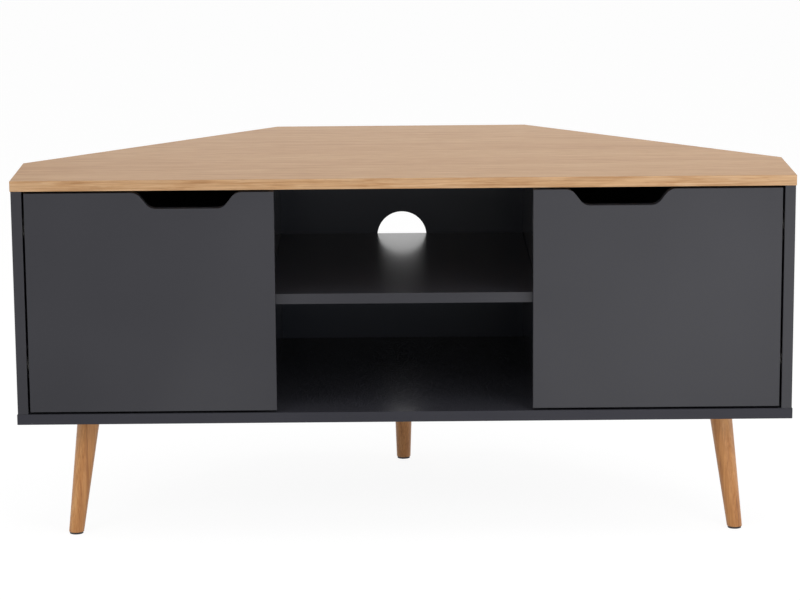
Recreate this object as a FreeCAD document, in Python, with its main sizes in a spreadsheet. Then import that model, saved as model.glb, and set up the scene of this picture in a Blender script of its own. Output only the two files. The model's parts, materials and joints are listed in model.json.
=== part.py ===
import FreeCAD
import Part
import Sketcher
import math
import os

from FreeCAD import Placement, Rotation, Vector

# Corner television cabinet: six-sided carcass on three legs, an open niche between two hinged doors.
# Millimetres. The floor is z = 0, the front faces -Y, and x = 0, y = 0 is the middle of the outline.

SIZES = {
    # outline and boards
    "width": 1100,
    "depth": 520,
    "end_depth": 164,
    "leg_height": 173,
    "inner_height": 320,
    "board": 15,
    "edge_round": 0.8,
    "end_reveal": 1,
    "front_reveal": 1,
    "niche_inset": 4,
    "shelf_setback": 20,
    "shelf_end_gap": 0.5,
    "back_inset": 3,
    "back_sheet": 3,
    "back_sheet_gap": 0.1,
    "cable_hole": 77,
    "cable_hole_drop": 4,
    # doors
    "door_thickness": 15,
    "door_gap": 3,
    "door_overhang": 8.5,
    "door_stop_gap": 2,
    "pull_top": 138,
    "pull_bottom": 102,
    "pull_depth": 23,
    "pull_from_edge": 122.5,
    "pull_top_round": 18,
    "pull_low_round": 17,
    "bumper": 8,
    "bumper_from_end": 30,
    # hinges
    "hinge_from_end": 60,
    "pivot_from_edge": 20,
    "cup_bore": 35,
    "cup_from_edge": 22.5,
    "cup_skin": 3.5,
    "cup_wall": 1,
    "cup_flange": 40,
    "flange_sheet": 1.5,
    "wing_width": 14,
    "cup_screw_spread": 48,
    "cup_screw_offset": 6,
    "hinge_pin": 3.5,
    "pin_play": 0.05,
    "eye": 6.4,
    "cheek": 2,
    "arm_sheet": 2,
    "arm_width": 14,
    "arm_bend": 8,
    "arm_tail_bend": 6,
    "arm_tail": 36,
    "mount_height": 8,
    "mount_sheet": 3,
    "mount_wing": 48,
    "mount_wing_width": 20,
    "mount_screw_spread": 32,
    # legs
    "leg_tilt": 10,
    "leg_top": 33,
    "leg_foot": 21,
    "leg_plate": 2.5,
    "leg_plate_side": 64,
    "leg_plate_round": 8,
    "leg_screw_spread": 46,
    "leg_bolt": 8,
    "leg_bolt_in_leg": 35,
    "leg_bolt_above": 8,
    "leg_bolt_room": 15,
    "glide": 3,
    "glide_rim": 0.75,
    "front_leg_from_end": 95,
    "front_leg_from_front": 70,
    "rear_leg_from_back": 84,
    # fasteners
    "fit": 0.1,
    "cam": 15,
    "cam_skin": 2.5,
    "cam_setback": 24,
    "cam_bolt": 6,
    "dowel": 8,
    "dowel_length": 30,
    "joint_skin": 5,
    "joint_from_edge": 40,
    "small_screw": 3.5,
    "small_screw_head": 7,
    "plate_screw": 5,
    "plate_screw_head": 9,
    "screw_head_height": 2.2,
    "nail": 1.4,
    "nail_head": 4,
    "nail_head_height": 0.8,
    "nail_bite": 8,
}

UP = Vector(0, 0, 1)
RIGHT = Vector(1, 0, 0)
REARWARD = Vector(0, 1, 0)
WALLWARD = Vector(1, 1, 0) / math.sqrt(2)
NAIL_ROWS = 5

doc = FreeCAD.newDocument("corner_tv_cabinet")
dims = doc.addObject("Spreadsheet::Sheet", "dims")
for row, (alias, number) in enumerate(SIZES.items(), start=1):
    dims.set(f"A{row}", alias)
    dims.set(f"B{row}", str(number))
    dims.setAlias(f"B{row}", alias)
doc.recompute()

# Heights
INNER_LOW = "(dims.leg_height + dims.board)"
INNER_HIGH = "(dims.leg_height + dims.board + dims.inner_height)"
SHELF_LOW = f"({INNER_LOW} + (dims.inner_height - dims.board) / 2)"
SHELF_TOP = f"({SHELF_LOW} + dims.board)"
DOOR_LOW = f"({INNER_LOW} + dims.door_gap)"
DOOR_HIGH = f"({INNER_HIGH} - dims.door_gap)"

# Positions across the width, right-hand half
END_OUT = "(dims.width / 2 - dims.end_reveal)"
END_IN = f"({END_OUT} - dims.board)"
NICHE_SIDE = "((dims.width / 2 - dims.depth + dims.end_depth) - dims.niche_inset)"
PARTITION_OUT = f"({NICHE_SIDE} + dims.board)"
SHELF_END = f"({NICHE_SIDE} - dims.shelf_end_gap)"
DOOR_FREE = f"({NICHE_SIDE} - dims.door_overhang)"
DOOR_HINGE = f"({END_IN} - dims.door_gap)"

# Positions front to back
FRONT = "(-dims.depth / 2)"
BOARD_FRONT = f"({FRONT} + dims.front_reveal)"
DOOR_BACK = f"({BOARD_FRONT} + dims.door_thickness)"
PARTITION_FRONT = f"({DOOR_BACK} + dims.door_stop_gap)"
SHELF_FRONT = f"({FRONT} + dims.shelf_setback)"
REAR_TRIM = "(dims.back_inset + dims.back_sheet)"
NICHE_BACK_REAR = f"(dims.depth / 2 - {REAR_TRIM})"
NICHE_BACK_FRONT = f"({NICHE_BACK_REAR} - dims.board)"

# The slanting wall line of the outline is x + y = WALL_SUM. The carcass boards end at TRIM_SUM.
WALL_SUM = "((dims.width - dims.depth) / 2 + dims.end_depth)"
TRIM_SUM = f"({WALL_SUM} - {REAR_TRIM} * sqrt(2))"
SHEET_SUM = f"({WALL_SUM} - dims.back_inset * sqrt(2))"

# Depths left in the boards
CAM_DEPTH = "(dims.board - dims.cam_skin)"
BITE = "(dims.board - dims.joint_skin)"
CUP_DEPTH = "(dims.door_thickness - dims.cup_skin)"


def value(expression):
    """Number that an expression over the sheet comes to."""
    return float(dims.evalExpression(expression))


def place(part, at, along=UP, start="0"):
    """Bind the base point to `at`, moved by `start` in the direction `along`."""
    for axis, base, share in zip("xyz", at, along):
        expression = f"{base}"
        if abs(share) > 1e-9:
            expression = f"{base} + ({start}) * ({share:.9f})"
        part.setExpression(f"Placement.Base.{axis}", expression)
    return part


def block(name, lengths, at, turn=None):
    part = doc.addObject("Part::Box", name)
    if turn is not None:
        part.Placement = Placement(Vector(), turn)
    for side, length in zip(("Length", "Width", "Height"), lengths):
        part.setExpression(side, length)
    return place(part, at)


def rod(name, diameter, length, at, along, start="0"):
    part = doc.addObject("Part::Cylinder", name)
    part.Placement = Placement(Vector(), Rotation(UP, along))
    part.setExpression("Radius", f"({diameter}) / 2")
    part.setExpression("Height", length)
    return place(part, at, along, start)


def hole(name, diameter, length, at, along, start="0"):
    """Room for a rod: on the same axis, wider and longer by the fit."""
    wide = f"{diameter} + 2 * dims.fit"
    long = f"{length} + 2 * dims.fit"
    return rod(name, wide, long, at, along, f"{start} - dims.fit")


def fuse(name, parts):
    part = doc.addObject("Part::MultiFuse", name)
    part.Shapes = parts
    return part


def cut(name, base, tools):
    part = doc.addObject("Part::Cut", name)
    part.Base = base
    part.Tool = tools[0] if len(tools) == 1 else fuse(f"{name}_holes", tools)
    return part


def common(name, first, second):
    part = doc.addObject("Part::MultiCommon", name)
    part.Shapes = [first, second]
    return part


def group(name, parts):
    part = doc.addObject("Part::Compound", name)
    part.Links = parts
    return part


def mirrored(name, source):
    """Left-hand copy of a right-hand part."""
    part = doc.addObject("Part::Mirroring", name)
    part.Source = source
    part.Base = Vector()
    part.Normal = RIGHT
    return part


def rounded(name, base, radius, wanted):
    """Round the edges whose middle point and direction `wanted` accepts."""
    doc.recompute()
    edges = []
    for index, edge in enumerate(base.Shape.Edges, start=1):
        middle = edge.CenterOfMass
        direction = edge.tangentAt(edge.FirstParameter)
        if wanted(middle, direction):
            edges.append((index, radius, radius))
    part = doc.addObject("Part::Fillet", name)
    part.Base = base
    part.Edges = edges
    return part


def outline(body, name, role, points):
    """Closed sketch on one of the body's own planes, each corner bound to the sheet."""
    plane = next(feature for feature in body.Origin.OriginFeatures if feature.Role == role)
    sketch = body.newObject("Sketcher::SketchObject", name)
    sketch.AttachmentSupport = [(plane, "")]
    sketch.MapMode = "FlatFace"
    corners = [Vector(value(across), value(along), 0) for across, along in points]
    count = len(corners)
    for index, corner in enumerate(corners):
        sketch.addGeometry(Part.LineSegment(corner, corners[(index + 1) % count]), False)
    for index in range(count):
        sketch.addConstraint(Sketcher.Constraint("Coincident", index, 2, (index + 1) % count, 1))
    for index, (across, along) in enumerate(points):
        for kind, expression, number in (
            ("DistanceX", across, corners[index].x),
            ("DistanceY", along, corners[index].y),
        ):
            constraint = sketch.addConstraint(Sketcher.Constraint(kind, -1, 1, index, 1, number))
            sketch.setExpression(f"Constraints[{constraint}]", expression)
    return sketch


def hexagon(name, inset, low, height):
    """Prism on the cabinet's outline, its three rear sides moved in by `inset`."""
    slant = f"({WALL_SUM} - ({inset}) * sqrt(2))"
    back = f"(dims.depth / 2 - ({inset}))"
    half = "(dims.width / 2)"
    points = [
        (f"-{half}", FRONT),
        (half, FRONT),
        (half, f"{slant} - {half}"),
        (f"{slant} - {back}", back),
        (f"{back} - {slant}", back),
        (f"-{half}", f"{slant} - {half}"),
    ]
    body = doc.addObject("PartDesign::Body", name)
    sketch = outline(body, f"{name}_outline", "XY_Plane", points)
    pad = body.newObject("PartDesign::Pad", f"{name}_pad")
    pad.Profile = sketch
    pad.setExpression("Length", height)
    return place(body, ("0", "0", low))


def screw(name, shank, length, head, at, along):
    """Pan-head screw: the head's seat is at `at`, and `along` is the way it is driven."""
    stem = rod(f"{name}_stem", shank, length, at, along)
    top = rod(f"{name}_head", head, "dims.screw_head_height", at, along, "-dims.screw_head_height")
    return fuse(name, [stem, top])


nodes = []


def keep(part, label):
    """Make the part one of the cabinet's nodes."""
    part.Label = label
    nodes.append(part)
    return part


def keep_pair(part, words):
    """Keep a right-hand part and its left-hand mirror image; `words` holds the place of the side."""
    keep(part, words.format("right"))
    return keep(mirrored(f"left_{part.Name}", part), words.format("left"))


# Joints between the uprights and the top and bottom panels, right-hand half
cams = []
cam_bolts = []
dowels = []
bolt_rooms = []
top_holes = []
bottom_holes = []
side_holes = []
partition_holes = []

side_rear = f"({TRIM_SUM} - {END_OUT})"
uprights = (
    (
        "side",
        side_holes,
        f"({END_IN} + dims.board / 2)",
        END_IN,
        (f"({BOARD_FRONT} + dims.joint_from_edge)", f"({side_rear} - dims.joint_from_edge * 3 / 4)"),
    ),
    (
        "partition",
        partition_holes,
        f"({NICHE_SIDE} + dims.board / 2)",
        f"({PARTITION_OUT} - {CAM_DEPTH})",
        (f"({PARTITION_FRONT} + dims.joint_from_edge)", f"({NICHE_BACK_FRONT} - dims.joint_from_edge)"),
    ),
)
ends = (
    ("low", INNER_LOW, -UP, bottom_holes),
    ("high", INNER_HIGH, UP, top_holes),
)
cam_bolt_length = f"(dims.cam_setback - 1 + {BITE})"
dowel_start = f"{BITE} - dims.dowel_length"
for upright, upright_holes, middle, pocket_from, rows in uprights:
    for end, joint, outward, panel_holes in ends:
        for number, row in enumerate(rows, start=1):
            spot = f"{upright}_{end}_{number}"
            cam_height = f"{joint} - dims.cam_setback * ({outward.z})"
            cam_at = (pocket_from, row, cam_height)
            cams.append(rod(f"cam_{spot}", "dims.cam", CAM_DEPTH, cam_at, RIGHT))
            upright_holes.append(hole(f"cam_room_{spot}", "dims.cam", CAM_DEPTH, cam_at, RIGHT))
            bolt_at = (middle, row, cam_height)
            cam_bolts.append(rod(f"bolt_{spot}", "dims.cam_bolt", cam_bolt_length, bolt_at, outward, "1"))
            room = hole(f"bolt_room_{spot}", "dims.cam_bolt", cam_bolt_length, bolt_at, outward, "1")
            bolt_rooms.append(room)
            upright_holes.append(room)
            panel_holes.append(room)
        dowel_at = (middle, f"({rows[0]} + {rows[1]}) / 2", joint)
        spot = f"{upright}_{end}"
        dowels.append(rod(f"dowel_{spot}", "dims.dowel", "dims.dowel_length", dowel_at, outward, dowel_start))
        room = hole(f"dowel_room_{spot}", "dims.dowel", "dims.dowel_length", dowel_at, outward, dowel_start)
        upright_holes.append(room)
        panel_holes.append(room)

# Joints of the niche shelf and of the niche back
shelf_holes = []
niche_back_holes = []
shelf_middle = f"({SHELF_LOW} + dims.board / 2)"
shelf_rows = (
    f"({SHELF_FRONT} + 3 / 2 * dims.joint_from_edge)",
    f"({NICHE_BACK_FRONT} - 3 / 2 * dims.joint_from_edge)",
)
shelf_bolt_length = f"(dims.cam_setback - 1 + dims.shelf_end_gap + {BITE})"
for number, row in enumerate(shelf_rows, start=1):
    cam_x = f"{SHELF_END} - dims.cam_setback"
    cam_at = (cam_x, row, SHELF_LOW)
    cams.append(rod(f"cam_shelf_{number}", "dims.cam", CAM_DEPTH, cam_at, UP))
    shelf_holes.append(hole(f"cam_room_shelf_{number}", "dims.cam", CAM_DEPTH, cam_at, UP))
    bolt_at = (cam_x, row, shelf_middle)
    cam_bolts.append(rod(f"bolt_shelf_{number}", "dims.cam_bolt", shelf_bolt_length, bolt_at, RIGHT, "1"))
    room = hole(f"bolt_room_shelf_{number}", "dims.cam_bolt", shelf_bolt_length, bolt_at, RIGHT, "1")
    bolt_rooms.append(room)
    shelf_holes.append(room)
    partition_holes.append(room)

shelf_dowel_at = (NICHE_SIDE, f"({shelf_rows[0]} + {shelf_rows[1]}) / 2", shelf_middle)
dowels.append(rod("dowel_shelf", "dims.dowel", "dims.dowel_length", shelf_dowel_at, RIGHT, dowel_start))
room = hole("dowel_room_shelf", "dims.dowel", "dims.dowel_length", shelf_dowel_at, RIGHT, dowel_start)
shelf_holes.append(room)
partition_holes.append(room)
for end, joint, outward, panel_holes in ends:
    dowel_at = (f"{NICHE_SIDE} * 2 / 3", f"{NICHE_BACK_FRONT} + dims.board / 2", joint)
    dowels.append(rod(f"dowel_back_{end}", "dims.dowel", "dims.dowel_length", dowel_at, outward, dowel_start))
    room = hole(f"dowel_room_back_{end}", "dims.dowel", "dims.dowel_length", dowel_at, outward, dowel_start)
    niche_back_holes.append(room)
    panel_holes.append(room)

# Nails through the back sheet into the bevelled rear ends of the uprights
nails = []
sheet_holes = []
nail_length = "(dims.back_sheet + dims.nail_bite)"
nail_lines = (
    ("side", side_holes, f"({END_OUT} - dims.board / 3)"),
    ("partition", partition_holes, f"({PARTITION_OUT} - dims.board / 5)"),
)
for upright, upright_holes, bevel_x in nail_lines:
    for number in range(NAIL_ROWS):
        nail_at = (
            f"{bevel_x} + dims.back_sheet / sqrt(2)",
            f"{TRIM_SUM} - {bevel_x} + dims.back_sheet / sqrt(2)",
            f"{INNER_LOW} + dims.inner_height * {(number + 0.5) / NAIL_ROWS}",
        )
        spot = f"{upright}_{number + 1}"
        inward = -WALLWARD
        stem = rod(f"nail_stem_{spot}", "dims.nail", nail_length, nail_at, inward)
        top = rod(f"nail_head_{spot}", "dims.nail_head", "dims.nail_head_height", nail_at, WALLWARD)
        nails.append(fuse(f"nail_{spot}", [stem, top]))
        room = hole(f"nail_room_{spot}", "dims.nail", nail_length, nail_at, inward)
        sheet_holes.append(room)
        upright_holes.append(room)

# Hinges of the right-hand door. They turn about one upright pin each, in line with each other.
eye_room = "(dims.fit + dims.cup_wall + dims.eye / 2 + 0.6)"
pivot_x = f"({DOOR_HINGE} - dims.pivot_from_edge)"
pivot_y = f"({DOOR_BACK} - {CUP_DEPTH} + {eye_room})"
cup_x = f"({DOOR_HINGE} - dims.cup_from_edge)"
wing_x = f"({cup_x} - dims.cup_screw_offset)"
seat_x = f"({END_IN} - dims.mount_height)"
cup_floor = f"({DOOR_BACK} - {CUP_DEPTH} + dims.fit)"
pin_length = "(dims.arm_width + 2 * 0.4 + 2 * dims.cheek)"

# Swing of the door's hinge-edge corner about the pin, and the arm's path outside it
swing = math.hypot(value("dims.pivot_from_edge"), value(f"{pivot_y} - {BOARD_FRONT}"))
lead = swing + 2.5
bend = value("dims.arm_bend")
tail_bend = value("dims.arm_tail_bend")
crossing = (lead + bend) * math.sqrt(0.5) + bend
tail_from = crossing + tail_bend
mount_middle = tail_from + value("dims.arm_tail") / 2


def cranked_arm():
    """Strap arm on the pin: out of the cup at 45 degrees, round the door's edge, along the side."""
    half = value("dims.arm_width") / 2
    sheet = value("dims.arm_sheet")
    tail_x = value(f"{seat_x} - {pivot_x}") - sheet / 2
    step = math.sqrt(0.5)
    start = Vector(-lead * step, lead * step, 0)
    center = start + Vector(step, step, 0) * bend
    over = center + Vector(0, bend, 0)
    round_point = center + Vector(-math.cos(math.pi / 8), math.sin(math.pi / 8), 0) * bend
    turn_center = Vector(tail_x - tail_bend, crossing + tail_bend, 0)
    turn_start = turn_center + Vector(0, -tail_bend, 0)
    turn_point = turn_center + Vector(step, -step, 0) * tail_bend
    turn_end = turn_center + Vector(tail_bend, 0, 0)
    tail_end = turn_end + Vector(0, value("dims.arm_tail"), 0)
    path = Part.Wire([
        Part.makeLine(Vector(), start),
        Part.Arc(start, round_point, over).toShape(),
        Part.makeLine(over, turn_start),
        Part.Arc(turn_start, turn_point, turn_end).toShape(),
        Part.makeLine(turn_end, tail_end),
    ])
    across = Vector(step, step, 0) * (sheet / 2)
    lift = Vector(0, 0, half)
    section = Part.makePolygon([
        across + lift, across - lift, -across - lift, -across + lift, across + lift,
    ])
    strap = path.makePipeShell([section], True, False)
    eye = Part.makeCylinder(value("dims.eye / 2"), 2 * half, Vector(0, 0, -half))
    bore = Part.makeCylinder(value("dims.hinge_pin / 2 + dims.pin_play"), 2 * half, Vector(0, 0, -half))
    screw_start = Vector(tail_x - 2 * sheet, mount_middle, 0)
    screw_room = Part.makeCylinder(value("dims.plate_screw / 2 + dims.fit"), 4 * sheet, screw_start, RIGHT)
    return strap.fuse(eye).cut(bore).cut(screw_room).removeSplitter()


door_holes = []
cups = []
pins = []
arms = []
mounts = []
cup_screws = []
mount_screws = []
clamp_screws = []
hinge_heights = (
    ("lower", f"({DOOR_LOW} + dims.hinge_from_end)"),
    ("upper", f"({DOOR_HIGH} - dims.hinge_from_end)"),
)
for level, height in hinge_heights:
    # cup with its flange, two cheeks for the pin and two wings for the screws
    cup_at = (cup_x, cup_floor, height)
    outer = "dims.cup_bore - 2 * dims.fit"
    deep = f"{CUP_DEPTH} - dims.fit"
    shell = rod(f"cup_shell_{level}", outer, deep, cup_at, REARWARD)
    flange_at = (cup_x, DOOR_BACK, height)
    flange = rod(f"cup_disc_{level}", "dims.cup_flange", "dims.flange_sheet", flange_at, REARWARD)
    wing = block(
        f"cup_wing_{level}",
        ("dims.wing_width", "dims.flange_sheet", "dims.cup_screw_spread"),
        (f"{wing_x} - dims.wing_width / 2", DOOR_BACK, f"{height} - dims.cup_screw_spread / 2"),
    )
    cup_pieces = [shell, flange, wing]
    cup_rooms = []
    for number, sign in enumerate((-1, 1), start=1):
        screw_z = f"{height} + {sign} * dims.cup_screw_spread / 2"
        wing_at = (wing_x, DOOR_BACK, screw_z)
        cup_pieces.append(
            rod(f"cup_wing_end_{level}_{number}", "dims.wing_width", "dims.flange_sheet", wing_at, REARWARD)
        )
        seat_at = (wing_x, f"{DOOR_BACK} + dims.flange_sheet", screw_z)
        screw_length = f"({CUP_DEPTH} - 1 + dims.flange_sheet)"
        cup_screws.append(
            screw(f"cup_screw_{level}_{number}", "dims.small_screw", screw_length,
                  "dims.small_screw_head", seat_at, -REARWARD)
        )
        room = hole(f"cup_screw_room_{level}_{number}", "dims.small_screw", screw_length, seat_at, -REARWARD)
        cup_rooms.append(room)
        door_holes.append(room)
    door_holes.append(
        rod(f"cup_room_{level}", "dims.cup_bore", f"{CUP_DEPTH} + 1", flange_at, -REARWARD, "-1")
    )
    hollow_at = (cup_x, f"{cup_floor} + dims.cup_wall", height)
    hollow = rod(
        f"cup_hollow_{level}", f"{outer} - 2 * dims.cup_wall", "dims.door_thickness * 2", hollow_at, REARWARD
    )
    cup_blank = cut(f"cup_blank_{level}", fuse(f"cup_pieces_{level}", cup_pieces), [hollow])
    cheeks = []
    for number, sign in enumerate((-1, 1), start=1):
        cheek_low = f"{height} + {sign} * (dims.arm_width / 2 + 0.4 + dims.cheek / 2) - dims.cheek / 2"
        cheeks.append(
            block(
                f"cup_cheek_{level}_{number}",
                ("dims.eye + 3", f"{pivot_y} - {cup_floor} - 0.5 + dims.eye / 2", "dims.cheek"),
                (f"{pivot_x} - (dims.eye + 3) / 2", f"{cup_floor} + 0.5", cheek_low),
            )
        )
    pin_at = (pivot_x, pivot_y, f"{height} - {pin_length} / 2")
    pin_room = hole(f"pin_room_{level}", "dims.hinge_pin", pin_length, pin_at, UP)
    cup_solid = fuse(f"cup_solid_{level}", [cup_blank] + cheeks)
    cups.append((level, cut(f"hinge_cup_{level}", cup_solid, cup_rooms + [pin_room])))
    pins.append((level, rod(f"hinge_pin_{level}", "dims.hinge_pin", pin_length, pin_at, UP)))

    # cranked arm
    arm = doc.addObject("Part::Feature", f"hinge_arm_{level}")
    arm.Shape = cranked_arm()
    arms.append((level, place(arm, (pivot_x, pivot_y, height))))

    # mounting plate on the side panel, its screws and the arm's clamp screw
    mount_y = f"({pivot_y} + {mount_middle:.6f})"
    base = block(
        f"mount_base_{level}",
        ("dims.mount_sheet", "dims.mount_wing_width", "dims.mount_wing"),
        (
            f"{END_IN} - dims.mount_sheet",
            f"{mount_y} - dims.mount_wing_width / 2",
            f"{height} - dims.mount_wing / 2",
        ),
    )
    rib = block(
        f"mount_rib_{level}",
        ("dims.mount_height", "dims.arm_tail", "dims.arm_width"),
        (seat_x, f"{mount_y} - dims.arm_tail / 2", f"{height} - dims.arm_width / 2"),
    )
    mount_rooms = []
    for number, sign in enumerate((-1, 1), start=1):
        screw_z = f"{height} + {sign} * dims.mount_screw_spread / 2"
        seat_at = (f"{END_IN} - dims.mount_sheet", mount_y, screw_z)
        screw_length = "(dims.mount_sheet + dims.board - dims.cam_skin)"
        mount_screws.append(
            screw(f"mount_screw_{level}_{number}", "dims.plate_screw", screw_length,
                  "dims.plate_screw_head", seat_at, RIGHT)
        )
        room = hole(f"mount_screw_room_{level}_{number}", "dims.plate_screw", screw_length, seat_at, RIGHT)
        mount_rooms.append(room)
        side_holes.append(room)
    clamp_at = (f"{seat_x} - dims.arm_sheet", mount_y, height)
    clamp_length = "(dims.arm_sheet + dims.mount_height - dims.mount_sheet)"
    clamp_screws.append(
        screw(f"clamp_screw_{level}", "dims.plate_screw", clamp_length,
              "dims.plate_screw_head", clamp_at, RIGHT)
    )
    mount_rooms.append(hole(f"clamp_screw_room_{level}", "dims.plate_screw", clamp_length, clamp_at, RIGHT))
    mount_blank = fuse(f"mount_blank_{level}", [base, rib])
    mounts.append((level, cut(f"hinge_mount_{level}", mount_blank, mount_rooms)))


# Legs: turned cones that lean outward, sawn level at both ends
leg_seat = "(dims.leg_height - dims.leg_plate)"
leg_run = f"(({leg_seat} - dims.glide) / cos(dims.leg_tilt))"
leg_spare = "10"


def lean_from(part, spot, lean, down):
    """Stand a part on the leg's axis, its base `down` below the leg's top centre."""
    part.Placement = Placement(Vector(), Rotation(UP.cross(lean), 10))
    part.setExpression("Placement.Rotation.Angle", "dims.leg_tilt")
    for axis, base, share in zip("xy", spot, lean):
        offset = f"({share:.9f}) * sin(dims.leg_tilt) * ({down})"
        part.setExpression(f"Placement.Base.{axis}", f"{base} - {offset}")
    part.setExpression("Placement.Base.z", f"{leg_seat} - cos(dims.leg_tilt) * ({down})")
    return part


def leg_set(name, spot, lean):
    """Leg, plate, bolt, glide and plate screws under the point `spot`; also the bottom panel's holes."""
    top_x, top_y = spot
    cone = doc.addObject("Part::Cone", f"{name}_cone")
    cone.setExpression("Radius1", "dims.leg_foot / 2")
    cone.setExpression("Radius2", "dims.leg_top / 2")
    cone.setExpression("Height", f"{leg_run} + 2 * {leg_spare}")
    lean_from(cone, spot, lean, f"{leg_run} + {leg_spare}")
    slab = block(
        f"{name}_slab",
        ("dims.leg_height * 2", "dims.leg_height * 2", f"{leg_seat} - dims.glide"),
        (f"{top_x} - dims.leg_height", f"{top_y} - dims.leg_height", "dims.glide"),
    )
    bolt_length = "(dims.leg_bolt_in_leg + dims.leg_bolt_above)"
    bolt = doc.addObject("Part::Cylinder", f"{name}_bolt")
    bolt.setExpression("Radius", "dims.leg_bolt / 2")
    bolt.setExpression("Height", bolt_length)
    lean_from(bolt, spot, lean, "dims.leg_bolt_in_leg")
    bolt_room = doc.addObject("Part::Cylinder", f"{name}_bolt_room")
    bolt_room.setExpression("Radius", "dims.leg_bolt / 2 + dims.fit")
    bolt_room.setExpression("Height", f"{bolt_length} + 2 * dims.fit")
    lean_from(bolt_room, spot, lean, "dims.leg_bolt_in_leg + dims.fit")

    reach = f"tan(dims.leg_tilt) * ({leg_seat} - dims.glide)"
    foot = [f"{base} - ({share:.9f}) * {reach}" for base, share in zip(spot, lean)]
    pad = rod(
        f"{name}_glide_pad", "dims.leg_foot - 2 * dims.glide_rim", "dims.glide", (foot[0], foot[1], "0"), UP
    )
    spike_at = (foot[0], foot[1], "dims.glide")
    spike = rod(f"{name}_glide_spike", "dims.leg_foot / 8", "dims.leg_foot * 2 / 3", spike_at, UP)
    spike_room = hole(f"{name}_spike_room", "dims.leg_foot / 8", "dims.leg_foot * 2 / 3", spike_at, UP)
    leg = cut(f"{name}_leg", common(f"{name}_turned", cone, slab), [bolt_room, spike_room])

    plate_blank = block(
        f"{name}_plate_blank",
        ("dims.leg_plate_side", "dims.leg_plate_side", "dims.leg_plate"),
        (f"{top_x} - dims.leg_plate_side / 2", f"{top_y} - dims.leg_plate_side / 2", leg_seat),
    )
    plate_round = rounded(
        f"{name}_plate_round",
        plate_blank,
        value("dims.leg_plate_round"),
        lambda middle, direction: abs(direction.z) > 0.5,
    )
    plate_rooms = [
        rod(f"{name}_plate_bore", "dims.leg_bolt + 2", "dims.leg_plate", (top_x, top_y, leg_seat), UP)
    ]
    panel_rooms = [
        rod(
            f"{name}_bolt_end_room",
            "dims.leg_bolt_room",
            "dims.leg_bolt_above + dims.leg_plate",
            (top_x, top_y, leg_seat),
            UP,
        )
    ]
    screws = []
    for number, (side, fore) in enumerate(((-1, -1), (1, -1), (1, 1), (-1, 1)), start=1):
        screw_at = (
            f"{top_x} + {side} * dims.leg_screw_spread / 2",
            f"{top_y} + {fore} * dims.leg_screw_spread / 2",
            leg_seat,
        )
        screw_length = "(dims.leg_plate + dims.board - dims.joint_skin)"
        screws.append(
            screw(f"{name}_screw_{number}", "dims.small_screw", screw_length,
                  "dims.small_screw_head", screw_at, UP)
        )
        room = hole(f"{name}_screw_room_{number}", "dims.small_screw", screw_length, screw_at, UP)
        plate_rooms.append(room)
        panel_rooms.append(room)
    plate = cut(f"{name}_plate", plate_round, plate_rooms)
    glide = fuse(f"{name}_glide", [pad, spike])
    return {"leg": leg, "plate": plate, "bolt": bolt, "glide": glide, "screws": screws, "rooms": panel_rooms}


front_spot = ("(dims.width / 2 - dims.front_leg_from_end)", f"({FRONT} + dims.front_leg_from_front)")
front_leg = leg_set("front", front_spot, Vector(-1, 1, 0) / math.sqrt(2))
rear_spot = ("0", "(dims.depth / 2 - dims.rear_leg_from_back)")
rear_leg = leg_set("rear", rear_spot, Vector(0, -1, 0))

# Panels
edge_radius = value("dims.edge_round")
right_top_holes = fuse("right_top_holes", top_holes)
top_blank = rounded(
    "top_round",
    hexagon("top_blank", "0", INNER_HIGH, "dims.board"),
    edge_radius,
    lambda middle, direction: True,
)
left_top_holes = mirrored("left_top_holes", right_top_holes)
keep(cut("top", top_blank, [right_top_holes, left_top_holes]), "top_panel")

right_bottom_holes = fuse("right_bottom_holes", bottom_holes + front_leg["rooms"])
bottom_blank = rounded(
    "bottom_round",
    hexagon("bottom_blank", "0", "dims.leg_height", "dims.board"),
    edge_radius,
    lambda middle, direction: True,
)
left_bottom_holes = mirrored("left_bottom_holes", right_bottom_holes)
keep(
    cut("bottom", bottom_blank, [right_bottom_holes, left_bottom_holes] + rear_leg["rooms"]),
    "bottom_panel",
)

board_front = value(BOARD_FRONT)
carcass_depth = f"(dims.depth / 2 - {BOARD_FRONT})"
side_trim = hexagon("side_trim", REAR_TRIM, INNER_LOW, "dims.inner_height")
side_blank = block(
    "side_blank",
    ("dims.board", carcass_depth, "dims.inner_height"),
    (END_IN, BOARD_FRONT, INNER_LOW),
)
side_round = rounded(
    "side_round",
    common("side_bevelled", side_blank, side_trim),
    edge_radius,
    lambda middle, direction: abs(middle.y - board_front) < 0.01 and abs(direction.z) > 0.5,
)
keep_pair(cut("side", side_round, side_holes), "{}_side_panel")

partition_trim = hexagon("partition_trim", REAR_TRIM, INNER_LOW, "dims.inner_height")
partition_depth = f"(dims.depth / 2 - {PARTITION_FRONT})"
partition_blank = block(
    "partition_blank",
    ("dims.board", partition_depth, "dims.inner_height"),
    (NICHE_SIDE, PARTITION_FRONT, INNER_LOW),
)
partition_bevelled = common("partition_bevelled", partition_blank, partition_trim)
keep_pair(cut("partition", partition_bevelled, partition_holes), "{}_partition")

shelf_front = value(SHELF_FRONT)
shelf_blank = block(
    "shelf_blank",
    (f"2 * {SHELF_END}", f"{NICHE_BACK_FRONT} - {SHELF_FRONT}", "dims.board"),
    (f"-{SHELF_END}", SHELF_FRONT, SHELF_LOW),
)
shelf_round = rounded(
    "shelf_round",
    shelf_blank,
    edge_radius,
    lambda middle, direction: abs(middle.y - shelf_front) < 0.01 and abs(direction.x) > 0.5,
)
right_shelf_holes = fuse("right_shelf_holes", shelf_holes)
left_shelf_holes = mirrored("left_shelf_holes", right_shelf_holes)
keep(cut("shelf", shelf_round, [right_shelf_holes, left_shelf_holes]), "niche_shelf")

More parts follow.
